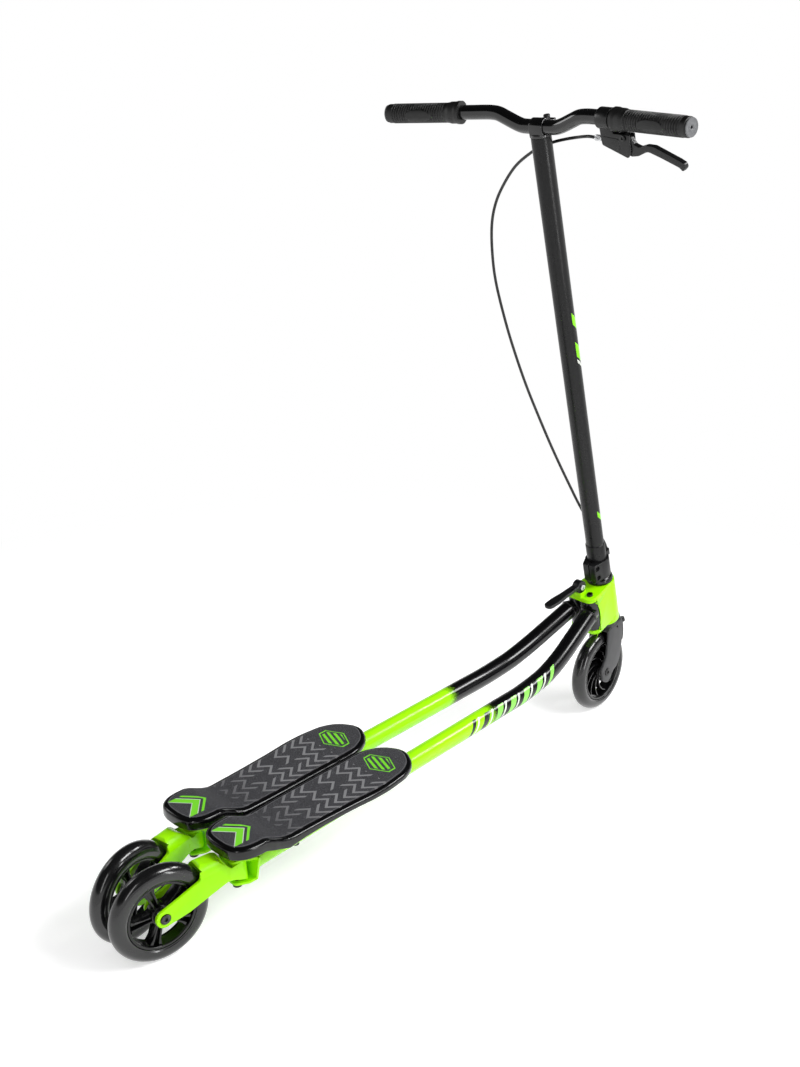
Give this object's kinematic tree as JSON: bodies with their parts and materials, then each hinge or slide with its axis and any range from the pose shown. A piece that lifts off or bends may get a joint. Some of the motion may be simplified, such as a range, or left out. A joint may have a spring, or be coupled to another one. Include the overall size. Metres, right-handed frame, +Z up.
{
  "type": "carving scooter",
  "caption": "Carving scooter with swinging legs, caster rear wheels under foot decks, steered front wheel and hand brake.",
  "frame": {"origin": "on the ground, in the middle of the wheelbase and between the two legs", "axes": "+Y points forward, +X to the rider's right, +Z up; the handlebar is at rest turned 5.3 degrees to the left, as pictured"},
  "size_m": [0.5462, 1.1569, 1.0972],
  "materials": {
    "green_paint": "glossy neon green paint",
    "black_paint": "gloss black paint",
    "satin_black_paint": "satin black paint",
    "grey_paint": "satin dark grey paint",
    "black_plastic": "moulded black plastic",
    "light_plastic": "moulded grey plastic",
    "rubber": "matt black rubber",
    "tyre": "cast polyurethane tread, dark grey",
    "grip_tape": "coarse abrasive sheet, charcoal",
    "steel": "bright steel",
    "black_steel": "blackened steel",
    "aluminium": "bare aluminium"
  },
  "bodies": {
    "frame": {"head_casting": "green_paint", "headset_bearing_upper": "steel", "headset_bearing_lower": "steel", "leg_pin_bolt_left": "black_steel", "leg_pin_bolt_right": "black_steel", "lock_draw_bolt": "steel", "lock_draw_nut": "steel", "lock_lever_axle": "aluminium"},
    "lock_lever": {"lock_lever": "black_plastic"},
    "steering": {"front_fork": "grey_paint", "front_axle_bolt": "black_steel", "headset_cap": "black_plastic", "column_clamp": "black_paint", "clamp_bolt_upper": "black_steel", "clamp_bolt_lower": "black_steel", "steering_column": "satin_black_paint", "stem_clamp": "black_paint", "stem_bolt": "black_steel", "handlebar": "black_paint", "grip_left": "rubber", "grip_right": "rubber", "bar_plug_left": "light_plastic", "bar_plug_right": "light_plastic", "brake_lever_bracket": "black_plastic", "lever_pivot_bolt": "black_steel", "cable_adjuster": "aluminium", "brake_cable": "rubber", "brake_bracket": "black_paint", "brake_arm_pin": "steel"},
    "front_wheel": {"front_tyre": "tyre", "front_hub": "black_plastic", "front_wheel_bearing": "steel"},
    "brake_lever": {"brake_lever": "black_plastic"},
    "brake_arm": {"brake_arm": "black_paint", "brake_pad": "rubber"},
    "brake_wire": {"brake_wire": "steel"},
    "left_leg": {"leg_left": "green_paint", "deck_left": "black_plastic", "grip_tape_left": "grip_tape", "caster_bolt_left": "black_steel", "caster_nut_left": "rubber", "deck_bolt_front_left": "black_steel", "deck_bolt_rear_left": "black_steel"},
    "left_caster": {"yoke_left": "green_paint", "rear_axle_bolt_left": "black_steel"},
    "left_rear_wheel": {"rear_tyre_left": "tyre", "rear_hub_left": "black_plastic", "rear_wheel_bearing_left": "steel"},
    "right_leg": {"leg_right": "green_paint", "deck_right": "black_plastic", "grip_tape_right": "grip_tape", "caster_bolt_right": "black_steel", "caster_nut_right": "rubber", "deck_bolt_front_right": "black_steel", "deck_bolt_rear_right": "black_steel"},
    "right_caster": {"yoke_right": "green_paint", "rear_axle_bolt_right": "black_steel"},
    "right_rear_wheel": {"rear_tyre_right": "tyre", "rear_hub_right": "black_plastic", "rear_wheel_bearing_right": "steel"}
  },
  "joints": [
    {"name": "steering_turn", "type": "hinge", "parent": "frame", "child": "steering", "pos_m": [0, 0.50947, 0.21553], "axis": [0, -0.2566, 0.9665], "range_deg": [-40.3, 29.7]},
    {"name": "front_wheel_spin", "type": "hinge", "parent": "steering", "child": "front_wheel", "pos_m": [0.00395, 0.50268, 0.07505], "axis": [0.9957, 0.0893, 0.0237], "continuous": true},
    {"name": "lock_lever_swing", "type": "hinge", "parent": "frame", "child": "lock_lever", "pos_m": [0, 0.43821, 0.26179], "axis": [-1, 0, 0], "range_deg": [0, 75]},
    {"name": "brake_lever_pull", "type": "hinge", "parent": "steering", "child": "brake_lever", "pos_m": [0.15543, 0.29148, 1.05738], "axis": [-0.0492, -0.9653, -0.2563], "range_deg": [0, 15.5], "stiffness_Nm_per_rad": 0.6, "springref_deg": -20.05},
    {"name": "brake_arm_turn", "type": "hinge", "parent": "steering", "child": "brake_arm", "pos_m": [-0.00402, 0.57084, 0.15319], "axis": [-0.9957, -0.0893, -0.0237], "range_deg": [0, 9.5]},
    {"name": "brake_wire_pull", "type": "slide", "parent": "steering", "child": "brake_wire", "axis": [0, -0.2566, 0.9665], "range_m": [0, 0.0019]},
    {"name": "left_leg_swing", "type": "hinge", "parent": "frame", "child": "left_leg", "pos_m": [-0.0165, 0.45986, 0.20753], "axis": [0, 0.2566, -0.9665], "range_deg": [0, 20]},
    {"name": "left_caster_swivel", "type": "hinge", "parent": "left_leg", "child": "left_caster", "pos_m": [-0.0513, -0.383, 0.097], "axis": [0, 0.0623, -0.9981], "range_deg": [0, 18]},
    {"name": "left_rear_wheel_spin", "type": "hinge", "parent": "left_caster", "child": "left_rear_wheel", "pos_m": [-0.03222, -0.50236, 0.075], "axis": [0.9877, 0.1561, 0.0097], "continuous": true},
    {"name": "right_leg_swing", "type": "hinge", "parent": "frame", "child": "right_leg", "pos_m": [0.0165, 0.45986, 0.20753], "axis": [0, -0.2566, 0.9665], "range_deg": [0, 20]},
    {"name": "right_caster_swivel", "type": "hinge", "parent": "right_leg", "child": "right_caster", "pos_m": [0.0513, -0.383, 0.097], "axis": [0, -0.0623, 0.9981], "range_deg": [0, 18]},
    {"name": "right_rear_wheel_spin", "type": "hinge", "parent": "right_caster", "child": "right_rear_wheel", "pos_m": [0.03222, -0.50236, 0.075], "axis": [0.9877, -0.1561, -0.0097], "continuous": true}
  ],
  "couplings": [
    {"joint": "brake_wire_pull", "follows": "brake_lever_pull", "m_per_rad": 0.007},
    {"joint": "brake_arm_turn", "follows": "brake_lever_pull", "ratio": 0.6087}
  ]
}
